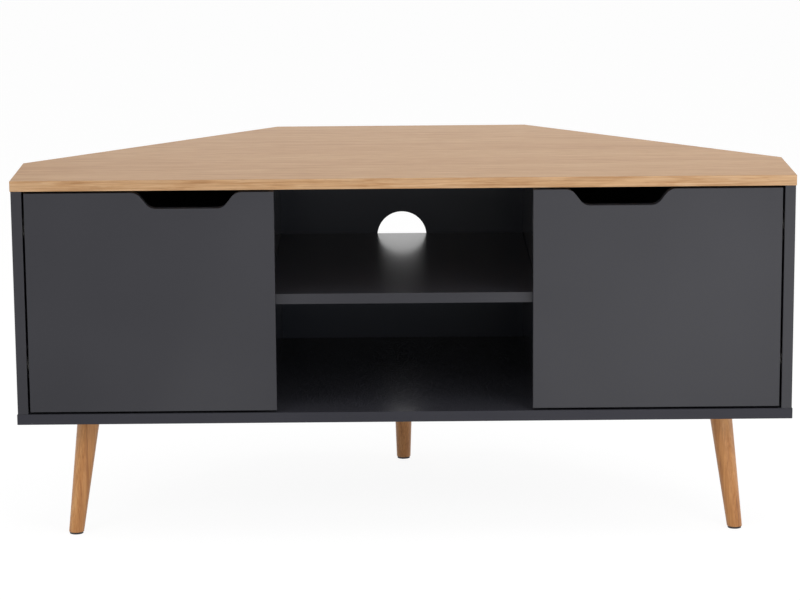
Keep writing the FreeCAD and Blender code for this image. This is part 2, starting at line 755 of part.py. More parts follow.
niche_back_trim = hexagon("niche_back_trim", REAR_TRIM, INNER_LOW, "dims.inner_height")
niche_back_blank = block(
    "niche_back_blank",
    (f"2 * {NICHE_SIDE}", "dims.board", "dims.inner_height"),
    (f"-{NICHE_SIDE}", NICHE_BACK_FRONT, INNER_LOW),
)
cable_hole = rod(
    "cable_hole",
    "dims.cable_hole",
    "dims.board * 3",
    ("0", NICHE_BACK_FRONT, f"{SHELF_TOP} - dims.cable_hole_drop"),
    REARWARD,
    "-dims.board",
)
right_niche_back_holes = fuse("right_niche_back_holes", niche_back_holes)
left_niche_back_holes = mirrored("left_niche_back_holes", right_niche_back_holes)
keep(
    cut(
        "niche_back",
        common("niche_back_trimmed", niche_back_blank, niche_back_trim),
        [cable_hole, right_niche_back_holes, left_niche_back_holes],
    ),
    "niche_back_panel",
)

# The sheet runs along the wall from the outside of the side panel to the niche side of the partition
sheet_trim = hexagon("sheet_trim", "dims.back_inset", INNER_LOW, "dims.inner_height")
sheet_blank = block(
    "sheet_blank",
    (
        f"({END_OUT} - {NICHE_SIDE}) * sqrt(2)",
        "dims.back_sheet",
        "dims.inner_height - 2 * dims.back_sheet_gap",
    ),
    (END_OUT, f"{SHEET_SUM} - {END_OUT}", f"{INNER_LOW} + dims.back_sheet_gap"),
    Rotation(UP, 135),
)
keep_pair(cut("back_sheet", common("sheet_trimmed", sheet_blank, sheet_trim), sheet_holes), "{}_back_panel")

# Doors
door_points = [
    (DOOR_FREE, DOOR_LOW),
    (DOOR_HINGE, DOOR_LOW),
    (DOOR_HINGE, DOOR_HIGH),
    (f"{DOOR_FREE} + dims.pull_from_edge + dims.pull_top / 2", DOOR_HIGH),
    (f"{DOOR_FREE} + dims.pull_from_edge + dims.pull_bottom / 2", f"{DOOR_HIGH} - dims.pull_depth"),
    (f"{DOOR_FREE} + dims.pull_from_edge - dims.pull_bottom / 2", f"{DOOR_HIGH} - dims.pull_depth"),
    (f"{DOOR_FREE} + dims.pull_from_edge - dims.pull_top / 2", DOOR_HIGH),
    (DOOR_FREE, DOOR_HIGH),
]
door_body = doc.addObject("PartDesign::Body", "door_body")
door_sketch = outline(door_body, "door_outline", "XZ_Plane", door_points)
door_pad = door_body.newObject("PartDesign::Pad", "door_pad")
door_pad.Profile = door_sketch
door_pad.setExpression("Length", "dims.door_thickness")
place(door_body, ("0", DOOR_BACK, "0"))
doc.recompute()


def pull_corners(shape, across, height):
    """Edges through the door's thickness at the two corners of the cut-out at this height."""
    found = []
    for index, edge in enumerate(shape.Edges, start=1):
        middle = edge.CenterOfMass
        through = abs(edge.tangentAt(edge.FirstParameter).y) > 0.5
        if through and abs(middle.z - height) < 0.01 and min(abs(middle.x - spot) for spot in across) < 0.01:
            found.append(f"Edge{index}")
    return found


door_shape = door_pad
for step, radius, first, second in (
    ("top", "dims.pull_top_round", 3, 6),
    ("low", "dims.pull_low_round", 4, 5),
):
    corners = pull_corners(
        door_shape.Shape,
        (value(door_points[first][0]), value(door_points[second][0])),
        value(door_points[first][1]),
    )
    fillet = door_body.newObject("PartDesign::Fillet", f"door_pull_{step}")
    fillet.Base = (door_shape, corners)
    fillet.setExpression("Radius", radius)
    doc.recompute()
    door_shape = fillet
door_face = -value("dims.door_thickness")
face_edges = [
    f"Edge{index}"
    for index, edge in enumerate(door_shape.Shape.Edges, start=1)
    if abs(edge.BoundBox.YMin - door_face) < 0.01 and abs(edge.BoundBox.YMax - door_face) < 0.01
]
soft_edge = door_body.newObject("PartDesign::Fillet", "door_soft_edge")
soft_edge.Base = (door_shape, face_edges)
soft_edge.setExpression("Radius", "dims.edge_round")
doc.recompute()
keep_pair(cut("door", door_body, door_holes), "{}_door_panel")

# Hinges, bumpers and screws of both doors
for level, part in cups:
    keep_pair(part, "{}_" + f"{level}_hinge_cup")
for level, part in pins:
    keep_pair(part, "{}_" + f"{level}_hinge_pin")
for level, part in arms:
    keep_pair(part, "{}_" + f"{level}_hinge_arm")
for level, part in mounts:
    keep_pair(part, "{}_" + f"{level}_hinge_mount")
keep_pair(group("cup_screws", cup_screws), "{}_hinge_cup_screws")

bumpers = [
    rod(
        f"bumper_{end}",
        "dims.bumper",
        "dims.door_stop_gap - dims.fit",
        (f"{NICHE_SIDE} + dims.board / 2", DOOR_BACK, height),
        REARWARD,
    )
    for end, height in (
        ("low", f"{DOOR_LOW} + dims.bumper_from_end"),
        ("high", f"{DOOR_HIGH} - dims.bumper_from_end"),
    )
]
keep_pair(group("bumpers", bumpers), "{}_door_bumpers")

# Legs
for piece in ("leg", "plate", "bolt", "glide"):
    suffix = "leg" if piece == "leg" else f"leg_{piece}"
    keep_pair(front_leg[piece], "front_{}_" + suffix)
    keep(rear_leg[piece], f"rear_{suffix}")


def both_sides(name, parts):
    """One group of the right-hand parts and their mirror images."""
    right = group(f"{name}_right", parts)
    return group(name, [right, mirrored(f"{name}_left", right)])


# Fasteners that are all alike share one node
front_leg_screws = both_sides("front_leg_screws", front_leg["screws"])
keep(group("leg_screws", [front_leg_screws] + rear_leg["screws"]), "leg_plate_screws")
cam_set = cut("cam_set", group("cam_blanks", cams), bolt_rooms)
keep(group("cam_locks", [cam_set, mirrored("left_cam_set", cam_set)]), "cam_locks")
keep(both_sides("cam_bolts", cam_bolts), "cam_bolts")
keep(both_sides("dowels", dowels), "wooden_dowels")
keep(both_sides("nails", nails), "back_panel_nails")
keep(both_sides("mount_screws", mount_screws), "hinge_mount_screws")
keep(both_sides("clamp_screws", clamp_screws), "hinge_clamp_screws")

doc.recompute()
for part in doc.Objects:
    if "Invalid" in part.State or "Error" in part.State:
        raise RuntimeError(f"{part.Name} did not build: {part.State}")
os.makedirs("parts", exist_ok=True)
for part in nodes:
    if part.Shape.isNull() or not part.Shape.isValid():
        raise RuntimeError(f"{part.Label} has no valid shape")
    part.Shape.exportStep(f"parts/{part.Label}.step")
    print(f"{part.Label}: {len(part.Shape.Solids)} solids, {part.Shape.Volume / 1000:.1f} cm3")
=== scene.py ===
import json
import math

import bmesh
import bpy
from mathutils import Matrix, Vector


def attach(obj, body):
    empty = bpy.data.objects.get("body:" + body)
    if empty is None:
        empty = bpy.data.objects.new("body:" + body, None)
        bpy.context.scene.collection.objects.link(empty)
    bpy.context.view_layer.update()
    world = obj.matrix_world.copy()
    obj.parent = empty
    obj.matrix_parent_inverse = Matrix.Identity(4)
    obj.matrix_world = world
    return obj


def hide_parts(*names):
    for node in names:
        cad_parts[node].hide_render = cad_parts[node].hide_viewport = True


# Corner television cabinet: oak-look top and turned legs, satin grey boards, two hinged doors.
# Metres: the floor is z = 0, the front faces -Y and the width runs along X.

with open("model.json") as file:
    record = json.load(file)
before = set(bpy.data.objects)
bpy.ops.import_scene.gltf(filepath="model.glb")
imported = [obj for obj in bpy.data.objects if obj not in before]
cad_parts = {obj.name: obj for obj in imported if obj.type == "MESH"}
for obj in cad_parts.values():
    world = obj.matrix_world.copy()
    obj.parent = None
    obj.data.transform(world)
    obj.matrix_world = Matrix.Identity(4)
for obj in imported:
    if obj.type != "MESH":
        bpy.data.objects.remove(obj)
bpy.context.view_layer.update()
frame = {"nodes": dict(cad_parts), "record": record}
nodes = frame["nodes"]

MM = 0.001
RIGHT = Vector((1, 0, 0))
REAR = Vector((0, 1, 0))
UP = Vector((0, 0, 1))

# Shades are red, green and blue on the usual 0 to 255 screen scale
WHITE = (255, 255, 255)

# Most of a noise pattern lies between these two values
PATTERN_LOW = 0.3
PATTERN_HIGH = 0.7

# Colour sockets of a Mix node
MIX_FIRST = 6
MIX_SECOND = 7
MIX_RESULT = 2


def alike(number):
    """The same number three times: an even scale, or a shade of grey."""
    return (number, number, number)


def shifted(shade, step):
    """A shade made lighter, or darker with a step below zero."""
    return tuple(number + step for number in shade)


def colour(shade):
    """Linear colour of a shade, fully opaque."""
    def linear(number):
        share = number / 255
        return share / 12.92 if share <= 0.04045 else ((share + 0.055) / 1.055) ** 2.4
    red, green, blue = shade
    return (linear(red), linear(green), linear(blue), 1.0)


def add_object(name, data):
    """New object in the scene from a mesh, a lamp or a camera."""
    thing = bpy.data.objects.new(name, data)
    bpy.context.scene.collection.objects.link(thing)
    return thing


def fill(tree, node, inputs):
    """Set a node's sockets, by name or number, to plain values or join other nodes' outputs to them."""
    for socket, source in inputs.items():
        if isinstance(source, bpy.types.NodeSocket):
            tree.links.new(source, node.inputs[socket])
        else:
            node.inputs[socket].default_value = source


def add_node(tree, kind, inputs, **settings):
    """New node with its settings made and its sockets filled."""
    node = tree.nodes.new(kind)
    for setting, value in settings.items():
        setattr(node, setting, value)
    fill(tree, node, inputs)
    return node


class Graph:
    """Node tree of one material, ending in a Principled shader."""

    def __init__(self, name):
        self.material = bpy.data.materials.new(name)
        self.material.use_nodes = True
        self.tree = self.material.node_tree
        self.tree.nodes.clear()
        self.shader = self.add("ShaderNodeBsdfPrincipled", {})
        self.add("ShaderNodeOutputMaterial", {"Surface": self.shader.outputs[0]})
        place = self.add("ShaderNodeTexCoord", {})
        self.at = place.outputs["Object"]
        self.normal = place.outputs["Normal"]

    def add(self, kind, inputs, **settings):
        return add_node(self.tree, kind, inputs, **settings)

    def calc(self, operation, first, second=0.0):
        return self.add("ShaderNodeMath", {0: first, 1: second}, operation=operation).outputs[0]

    def vector(self, operation, first, second=(0.0, 0.0, 0.0)):
        node = self.add("ShaderNodeVectorMath", {0: first, 1: second}, operation=operation)
        return node.outputs["Value" if operation == "DOT_PRODUCT" else "Vector"]

    def split(self, source):
        return self.add("ShaderNodeSeparateXYZ", {0: source}).outputs

    def combine(self, x, y, z):
        return self.add("ShaderNodeCombineXYZ", {0: x, 1: y, 2: z}).outputs[0]

    def weigh(self, *parts):
        """Sum of two values, each given with its share."""
        first, second = [self.calc("MULTIPLY", value, share) for value, share in parts]
        return self.calc("ADD", first, second)

    def noise(self, at, scale, detail=2.0, rough=0.5, bend=0.0):
        """Cloudy pattern; `scale` is about the number of clouds in a metre along each axis."""
        return self.add("ShaderNodeTexNoise", {
            "Vector": self.vector("MULTIPLY", at, scale),
            "Scale": 1.0,
            "Detail": detail,
            "Roughness": rough,
            "Distortion": bend,
        }).outputs[0]

    def ramp(self, amount, stops):
        """Colour along `amount`, from a list of (position, shade)."""
        node = self.add("ShaderNodeValToRGB", {0: amount})
        points = node.color_ramp.elements
        while len(points) < len(stops):
            points.new(0.5)
        for point, (position, shade) in zip(points, stops):
            point.position = position
            point.color = colour(shade)
        return node.outputs[0]

    def span(self, amount, low, high, to_low, to_high):
        """Straight-line change of range, held at both ends."""
        inputs = {0: amount, 1: low, 2: high, 3: to_low, 4: to_high}
        return self.add("ShaderNodeMapRange", inputs).outputs[0]

    def between(self, pattern, to_low, to_high):
        """Value from `to_low` to `to_high` over the range where most of a noise pattern lies."""
        return self.span(pattern, PATTERN_LOW, PATTERN_HIGH, to_low, to_high)

    def mix(self, amount, first, second, kind="MIX"):
        inputs = {"Factor": amount, MIX_FIRST: first, MIX_SECOND: second}
        return self.add("ShaderNodeMix", inputs, data_type="RGBA", blend_type=kind).outputs[MIX_RESULT]

    def bump(self, height, strength, distance):
        inputs = {"Strength": strength, "Distance": distance, "Height": height}
        relief = self.add("ShaderNodeBump", inputs)
        fill(self.tree, self.shader, {"Normal": relief.outputs[0]})

    def finish(self, inputs):
        """The material, with the shader's own sockets filled."""
        fill(self.tree, self.shader, inputs)
        return self.material


# The edge band takes its grain from another depth of the pattern than the face, which is at 0
BAND_DEPTH = 8.9


def edge_share(graph):
    """1 on the upright edges of a level board, 0 on its faces."""
    level = graph.calc("ABSOLUTE", graph.split(graph.normal)[2])
    return graph.span(level, low=0.55, high=0.75, to_low=1.0, to_high=0.0)


def board_grain_place(graph):
    """Place in the grain, which runs along X on the faces and along the edge on every upright edge."""
    tangent = graph.vector("NORMALIZE", graph.vector("CROSS_PRODUCT", graph.normal, UP))
    along_edge = graph.vector("DOT_PRODUCT", graph.at, tangent)
    x, y, z = graph.split(graph.at)
    is_edge = edge_share(graph)
    face = graph.combine(x, y, 0.0)
    edge = graph.combine(along_edge, z, BAND_DEPTH)
    return graph.mix(is_edge, face, edge), is_edge


def oak_board():
    """Oak-look foil on the top: fine straight grain on the face, bolder streaks on the edge band."""
    graph = Graph("oak_board")
    at, is_edge = board_grain_place(graph)
    broad = graph.noise(at, (0.9, 13.0, 1.0), detail=3.0, rough=0.55, bend=0.5)
    streak = graph.noise(at, (2.4, 90.0, 1.0), detail=4.0, rough=0.6, bend=0.4)
    fibre = graph.noise(at, (10.0, 560.0, 1.0), detail=3.0, rough=0.6)
    fleck = graph.noise(at, (26.0, 190.0, 1.0), rough=0.6)
    pores = graph.noise(at, (60.0, 1100.0, 1.0), detail=1.0)
    edge_streak = graph.noise(at, (12.0, 300.0, 1.0), detail=4.0, rough=0.62, bend=0.6)
    face = graph.ramp(graph.weigh((broad, 0.4), (streak, 0.6)), [
        (0.30, (172, 130, 90)),
        (0.46, (187, 147, 107)),
        (0.60, (194, 156, 116)),
        (0.76, (201, 166, 128)),
    ])
    band = graph.ramp(graph.weigh((broad, 0.25), (edge_streak, 0.75)), [
        (0.30, (171, 124, 80)),
        (0.44, (196, 154, 111)),
        (0.56, (210, 172, 132)),
        (0.74, (223, 190, 154)),
    ])
    base = graph.mix(is_edge, face, band)
    fine = graph.ramp(fibre, [(0.30, (214, 205, 196)), (0.62, WHITE)])
    base = graph.mix(0.55, base, fine, "MULTIPLY")
    short = graph.ramp(fleck, [(0.34, (236, 231, 226)), (0.62, WHITE)])
    base = graph.mix(0.6, base, short, "MULTIPLY")
    dash = graph.span(pores, low=0.66, high=0.78, to_low=0.0, to_high=0.35)
    base = graph.mix(dash, base, colour((120, 82, 50)))
    relief = graph.calc("ADD", fibre, graph.calc("MULTIPLY", streak, 0.5))
    graph.bump(relief, strength=0.12, distance=0.4 * MM)
    return graph.finish({"Base Color": base, "Roughness": graph.between(fibre, 0.54, 0.46), "IOR": 1.35})


def turned_oak():
    """Clear-lacquered oak of the legs: the grain runs down the leg."""
    graph = Graph("turned_oak")
    broad = graph.noise(graph.at, (30.0, 30.0, 3.0))
    streak = graph.noise(graph.at, (150.0, 150.0, 7.0), detail=4.0, rough=0.6, bend=0.5)
    fibre = graph.noise(graph.at, (900.0, 900.0, 26.0), rough=0.6)
    base = graph.ramp(graph.weigh((broad, 0.4), (streak, 0.6)), [
        (0.30, (139, 83, 41)),
        (0.43, (193, 132, 75)),
        (0.57, (212, 152, 93)),
        (0.76, (230, 179, 118)),
    ])
    fine = graph.ramp(fibre, [(0.30, (206, 190, 172)), (0.62, WHITE)])
    base = graph.mix(0.6, base, fine, "MULTIPLY")
    graph.bump(fibre, strength=0.12, distance=0.4 * MM)
    return graph.finish({"Base Color": base, "Roughness": graph.between(fibre, 0.44, 0.34), "IOR": 1.45})


def beech():
    """Plain beech of the dowels, with short upright flecks."""
    graph = Graph("beech")
    fleck = graph.noise(graph.at, (500.0, 500.0, 120.0), detail=3.0, rough=0.6)
    base = graph.ramp(fleck, [(0.35, (186, 146, 104)), (0.65, (214, 178, 136))])
    graph.bump(fleck, strength=0.2, distance=0.5 * MM)
    return graph.finish({"Base Color": base, "Roughness": graph.between(fleck, 0.7, 0.58)})


def grey_board(name, shade, rough, coat_rough, index=1.2, band=None):
    """Satin grey lacquer with a faint orange peel and a slight drift of tone.

    `index` sets how much it mirrors. `band` is a paler shade for the upright edges: a painted sheen in
    place of shine the board lacks.
    """
    graph = Graph(name)
    drift = graph.noise(graph.at, alike(4.0))
    peel = graph.noise(graph.at, alike(700.0))
    speck = graph.noise(graph.at, alike(2600.0), detail=1.0)

    def drifting(tone):
        return graph.ramp(drift, [(0.32, shifted(tone, -2)), (0.68, shifted(tone, 2))])

    base = drifting(shade)
    # Paler upright edges, where a band is given: painted sheen in place of the shine of a glossier finish
    if band:
        base = graph.mix(edge_share(graph), base, drifting(band))
    fine = graph.ramp(speck, [(0.30, alike(238)), (0.70, WHITE)])
    base = graph.mix(0.6, base, fine, "MULTIPLY")
    graph.bump(peel, strength=0.04, distance=0.3 * MM)
    return graph.finish({
        "Base Color": base,
        "Roughness": graph.between(peel, rough, rough + 0.06),
        "IOR": index,
        "Coat Weight": 1.0,
        "Coat Roughness": coat_rough,
        "Coat IOR": index,
    })


# Weave of the hardboard's screen side, in radians to the metre
WEAVE_ALONG = 2200.0
WEAVE_UP = 3100.0


def hardboard():
    """Painted hardboard: smooth paint over a close woven screen texture."""
    graph = Graph("grey_hardboard")
    x, y, z = graph.split(graph.at)
    along = graph.calc("SUBTRACT", graph.calc("ABSOLUTE", x), y)
    wave_along = graph.calc("SINE", graph.calc("MULTIPLY", along, WEAVE_ALONG))
    wave_up = graph.calc("SINE", graph.calc("MULTIPLY", z, WEAVE_UP))
    mottle = graph.noise(graph.at, alike(160.0), detail=4.0, rough=0.65)
    base = graph.ramp(mottle, [(0.30, (54, 56, 64)), (0.70, (61, 63, 71))])
    graph.bump(graph.calc("MULTIPLY", wave_along, wave_up), strength=0.25, distance=0.3 * MM)
    return graph.finish({"Base Color": base, "Roughness": graph.between(mottle, 0.62, 0.52)})


def metal(name, shade, rough, scratches):
    """Plated or cast metal with a cloudy tone; `scratches` is the scale of its fine scratches."""
    graph = Graph(name)
    scratch = graph.noise(graph.at, scratches, detail=3.0, rough=0.6)
    cloud = graph.noise(graph.at, alike(90.0), detail=3.0, rough=0.6)
    red, green, blue = shade
    darker = (red - 16, green - 16, blue - 15)
    base = graph.ramp(cloud, [(0.30, darker), (0.70, shifted(shade, 6))])
    graph.bump(scratch, strength=0.012, distance=0.2 * MM)
    return graph.finish({
        "Base Color": base,
        "Roughness": graph.between(scratch, rough - 0.06, rough + 0.08),
        "Metallic": 1.0,
    })


def black_plastic():
    """Moulded plastic of the glides, with a fine grain."""
    graph = Graph("black_plastic")
    grain = graph.noise(graph.at, alike(1600.0))
    base = graph.ramp(grain, [(0.30, alike(22)), (0.70, alike(34))])
    graph.bump(grain, strength=0.2, distance=0.3 * MM)
    return graph.finish({"Base Color": base, "Roughness": graph.between(grain, 0.5, 0.62)})


def clear_rubber():
    """Soft clear rubber of the bumpers, slightly cloudy."""
    graph = Graph("clear_rubber")
    cloud = graph.noise(graph.at, alike(400.0))
    base = graph.ramp(cloud, [(0.30, (205, 206, 204)), (0.70, (226, 227, 225))])
    graph.bump(cloud, strength=0.1, distance=0.2 * MM)
    return graph.finish({
        "Base Color": base,
        "Roughness": graph.between(cloud, 0.22, 0.34),
        "Transmission Weight": 0.55,
        "IOR": 1.45,
    })


finishes = {
    "oak_board": oak_board(),
    "grey_board": grey_board("grey_board", (56, 56, 61), rough=0.30, coat_rough=0.15),
    "grey_hardboard": hardboard(),
    "turned_oak": turned_oak(),
    "beech": beech(),
    "black_plastic": black_plastic(),
    "clear_rubber": clear_rubber(),
    "nickel_steel": metal(
        "nickel_steel", (206, 204, 199), rough=0.44, scratches=(1800.0, 1800.0, 900.0),
    ),
    "zinc_plated_steel": metal(
        "zinc_plated_steel", (186, 190, 196), rough=0.34, scratches=(900.0, 120.0, 900.0),
    ),
    "die_cast_zinc": metal(
        "die_cast_zinc", (158, 160, 163), rough=0.45, scratches=alike(700.0),
    ),
}
slot_of = {part["node"]: part["material_slot"] for part in frame["record"]["subparts"]}

# Two grey boards differ: the bottom mirrors less and its paler edge is painted sheen, and the niche's back
# has a painted bluish cast of shade
own_look = {
    # The bottom's paler edge is painted sheen, standing in for the shine that its low gloss loses
    "bottom_panel": grey_board(
        "bottom_board", (57, 57, 63), rough=0.26, coat_rough=0.12, index=1.08, band=(63, 63, 69),
    ),
    # The niche's back is bluer than the other boards: a painted bluish cast of the cool shade inside the
    # niche
    "niche_back_panel": grey_board("niche_board", (51, 55, 66), rough=0.30, coat_rough=0.15),
}
for name, node in nodes.items():
    node.data.materials.clear()
    node.data.materials.append(own_look.get(name, finishes[slot_of[name]]))

# Small fittings, shaped finer than the plain solids that they stand for
TURN_STEPS = 40
SHARP_EDGE = math.radians(32)
SAME_POINT = 0.001 * MM
THINNEST = 0.002 * MM

NAIL_LENGTH = 11.8 * MM
NAIL_HEAD = 2.0 * MM
NAIL_STEM = 0.35 * NAIL_HEAD
NAIL_HEAD_HEIGHT = 0.8 * MM
NAIL_POINT = 1.6 * MM

# Heads and stems are radii; the recess of each screw is turned, in radians, from that of the one before
PLATE_SCREW = {"head": 4.5 * MM, "stem": 2.5 * MM}
SMALL_SCREW = {"head": 3.5 * MM, "stem": 1.75 * MM}
SCREW_HEAD_HEIGHT = 2.2 * MM
SCREW_POINT = 3 * MM
RECESS_TURN = 2.4

CAM_RADIUS = 7.5 * MM
CAM_DEPTH = 12.5 * MM
CAM_FOOT_BEVEL = 0.4 * MM
CAM_RIM_BEVEL = 0.3 * MM
CAM_RIM_WIDTH = 1.1 * MM
CAM_RIM_FOOT = 1.3 * MM
CAM_FACE_DROP = 0.5 * MM
CAM_BOLT_RADIUS = 3.05 * MM
CAM_BOLT_DROP = 7.5 * MM

# Of the cams in upright boards, those further out are in the side panels and those higher up hold the top
SIDE_PANEL_FROM = 0.3
HALFWAY_UP = 0.35

# Curves of domed heads from rim to crown: share of the radius, and drop below the crown,
# in millimetres for the nail and the screw and as a share of the height for the bumper
NAIL_DOME = ((1.0, 0.55), (0.9, 0.25), (0.6, 0.07), (0.0, 0.0))
SCREW_DOME = ((1.0, 1.4), (0.94, 0.85), (0.78, 0.4), (0.48, 0.1), (0.0, 0.0))
BUMPER_DOME = ((1.0, 0.78), (0.93, 0.5), (0.76, 0.24), (0.45, 0.06), (0.0, 0.0))


def mesh_from(shape, name):
    mesh = bpy.data.meshes.new(name)
    shape.to_mesh(mesh)
    shape.free()
    return mesh


def dome(curve, radius, unit):
    """Profile of a domed head, with its crown at z = 0."""
    return [(share * radius, -drop * unit) for share, drop in curve]


def turned(name, profile):
    """Closed solid of revolution about Z, from (radius, height) points that start and end on the axis."""
    shape = bmesh.new()
    rings = []
    for radius, height in profile:
        steps = TURN_STEPS if radius > 0 else 1
        ring = []
        for step in range(steps):
            turn = math.tau * step / steps
            ring.append(shape.verts.new((radius * math.cos(turn), radius * math.sin(turn), height)))
        rings.append(ring)
    for lower, upper in zip(rings, rings[1:]):
        for here in range(TURN_STEPS):
            after = here + 1
            spots = ((lower, here), (lower, after), (upper, after), (upper, here))
            corners = [ring[step % len(ring)] for ring, step in spots]
            shape.faces.new(list(dict.fromkeys(corners)))
    return mesh_from(shape, name)


def groove(length, width, depth, turn, start=None):
    """Straight cutter from just above z = 0 down to `depth`, with sides that lean in towards its foot.

    It lies along X, from `start` or evenly about the middle, and is then turned about Z.
    """
    shape = bmesh.new()
    turning = Matrix.Rotation(turn, 3, "Z")
    start = -length / 2 if start is None else start
    lean = 0.12 * width
    rings = []
    for height, inset in ((-depth, lean), (MM, -lean)):
        left = start + inset
        right = start + length - inset
        side = width / 2 - inset
        corners = ((left, -side), (right, -side), (right, side), (left, side))
        rings.append([shape.verts.new(turning @ Vector((x, y, height))) for x, y in corners])
    foot, mouth = rings
    shape.faces.new(reversed(foot))
    shape.faces.new(mouth)
    for here in range(4):
        after = (here + 1) % 4
        shape.faces.new((foot[here], foot[after], mouth[after], mouth[here]))
    return mesh_from(shape, "groove")


def carved(blank, cutters):
    """The blank's mesh with every cutter's shape taken out, and no flat triangles left along the cuts."""
    body = add_object("blank", blank)
    tools = [add_object("cutter", cutter) for cutter in cutters]
    for tool in tools:
        change = body.modifiers.new("cut", "BOOLEAN")
        change.solver = "EXACT"
        change.object = tool
    mesh = bpy.data.meshes.new_from_object(body.evaluated_get(bpy.context.evaluated_depsgraph_get()))
    for used in [body] + tools:
        bpy.data.objects.remove(used)
    shape = bmesh.new()
    shape.from_mesh(mesh)
    bmesh.ops.triangulate(shape, faces=shape.faces)
    bmesh.ops.dissolve_degenerate(shape, edges=shape.edges, dist=THINNEST)
    bmesh.ops.triangulate(shape, faces=shape.faces)
    return mesh_from(shape, blank.name)


def nail():
    """Domed nail; the crown of its head is at z = 0."""
    return turned("nail", [
        (0, -NAIL_LENGTH),
        (NAIL_STEM, -NAIL_LENGTH + NAIL_POINT),
        (NAIL_STEM, -NAIL_HEAD_HEIGHT),
        (NAIL_HEAD, -NAIL_HEAD_HEIGHT),
        *dome(NAIL_DOME, NAIL_HEAD, MM),
    ])


def pan_screw(length, head, stem):
    """Pan-head screw with a cross recess; the crown of its head is at z = 0."""
    blank = turned("screw", [
        (0, -length),
        (stem, -length + SCREW_POINT),
        (stem, -SCREW_HEAD_HEIGHT),
        (head, -SCREW_HEAD_HEIGHT),
        *dome(SCREW_DOME, head, MM),
    ])
    recess = [
        groove(length=1.2 * head, width=0.28 * head, depth=1.5 * MM, turn=turn)
        for turn in (0, math.pi / 2)
    ]
    return carved(blank, recess)


def cam_lock():
    """Cam with a raised rim, a cross recess, an arrow groove and a side bore for the bolt along X."""
    blank = turned("cam", [
        (0, -CAM_DEPTH),
        (CAM_RADIUS - CAM_FOOT_BEVEL, -CAM_DEPTH),
        (CAM_RADIUS, -CAM_DEPTH + CAM_FOOT_BEVEL),
        (CAM_RADIUS, -CAM_RIM_BEVEL),
        (CAM_RADIUS - CAM_RIM_BEVEL, 0),
        (CAM_RADIUS - CAM_RIM_WIDTH, 0),
        (CAM_RADIUS - CAM_RIM_FOOT, -CAM_FACE_DROP),
        (0, -CAM_FACE_DROP),
    ])
    bore_start = MM
    bore_end = 1.2 * CAM_RADIUS
    bore = turned("bore", [
        (0, bore_start),
        (CAM_BOLT_RADIUS, bore_start),
        (CAM_BOLT_RADIUS, bore_end),
        (0, bore_end),
    ])
    bore.transform(Matrix.Translation((0, 0, -CAM_BOLT_DROP)) @ Matrix.Rotation(math.pi / 2, 4, "Y"))
    recess = [
        groove(length=8 * MM, width=1.5 * MM, depth=3.2 * MM, turn=turn)
        for turn in (math.pi / 4, 3 * math.pi / 4)
    ]
    arrow = groove(length=2 * MM, width=1.1 * MM, depth=MM, turn=0, start=4.8 * MM)
    return carved(blank, recess + [arrow, bore])


def bumper(radius, height):
    """Domed pad; its crown is at z = 0."""
    return turned("bumper", [(0, -height), (radius, -height), *dome(BUMPER_DOME, radius, height)])


def lumps(node):
    """Middle and half size of every separate solid of a CAD node."""
    shape = bmesh.new()
    shape.from_mesh(nodes[node].data)
    bmesh.ops.remove_doubles(shape, verts=shape.verts, dist=SAME_POINT)
    for vert in shape.verts:
        vert.tag = False
    found = []
    for first in shape.verts:
        if first.tag:
            continue
        first.tag = True
        together = [first]
        for vert in together:
            for edge in vert.link_edges:
                other = edge.other_vert(vert)
                if not other.tag:
                    other.tag = True
                    together.append(other)
        low = Vector([min(vert.co[axis] for vert in together) for axis in range(3)])
        high = Vector([max(vert.co[axis] for vert in together) for axis in range(3)])
        found.append(((low + high) / 2, (high - low) / 2))
    shape.free()
    return found


def reach(half, facing):
    """How far a box of these half sizes goes from its middle along a direction."""
    return sum(abs(facing[axis]) * half[axis] for axis in range(3))


def stand(point, facing, side):
    """Place with Z along `facing` and X as near to `side` as it can be."""
    up = facing.normalized()
    across = (side - up * side.dot(up)).normalized()
    return Matrix.Translation(point) @ Matrix((across, up.cross(across), up)).transposed().to_4x4()


def outward(middle):
    """Level way from the middle of the cabinet to the side that a point is on."""
    return RIGHT if middle.x > 0 else -RIGHT


def inward(middle):
    return -outward(middle)


def downward(middle):
    return -UP


def rearward(middle):
    return REAR


def spread(name, node, body, mesh, places):
    """One piece from a copy of a small mesh at every place; it stands for a CAD node."""
    shape = bmesh.new()
    for place in places:
        copy = mesh.copy()
        copy.transform(place)
        shape.from_mesh(copy)
        bpy.data.meshes.remove(copy)
    joined = mesh_from(shape, name)
    joined.shade_smooth()
    joined.set_sharp_from_angle(angle=SHARP_EDGE)
    joined.materials.append(finishes[slot_of[node]])
    piece = add_object(name, joined)
    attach(piece, body)
    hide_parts(node)


def screws(name, node, body, direction, head, stem):
    """Screws of one node, all alike; `direction` gives the way that the head at a place faces."""
    found = lumps(node)
    first_middle, first_half = found[0]
    length = 2 * reach(first_half, direction(first_middle))
    places = []
    for number, (middle, half) in enumerate(found):
        facing = direction(middle)
        side = Matrix.Rotation(RECESS_TURN * number, 3, facing) @ Vector((facing.y, facing.z, facing.x))
        places.append(stand(middle + facing * reach(half, facing), facing, side))
    spread(name, node, body, pan_screw(length, head, stem), places)


def bumpers(name, node, body):
    """Domed pads of one node, all alike, which face the rear."""
    found = lumps(node)
    pad_half = found[0][1]
    places = [stand(middle + REAR * half.y, REAR, RIGHT) for middle, half in found]
    spread(name, node, body, bumper(pad_half.x, 2 * pad_half.y), places)


screws("leg_screws", "leg_plate_screws", "cabinet", downward, **SMALL_SCREW)
screws("mount_screws", "hinge_mount_screws", "cabinet", inward, **PLATE_SCREW)
screws("clamp_screws", "hinge_clamp_screws", "cabinet", inward, **PLATE_SCREW)
for hand in ("left", "right"):
    screws(f"{hand}_cup_screws", f"{hand}_hinge_cup_screws", f"{hand}_door", rearward, **SMALL_SCREW)
    bumpers(f"{hand}_bumpers", f"{hand}_door_bumpers", f"{hand}_door")

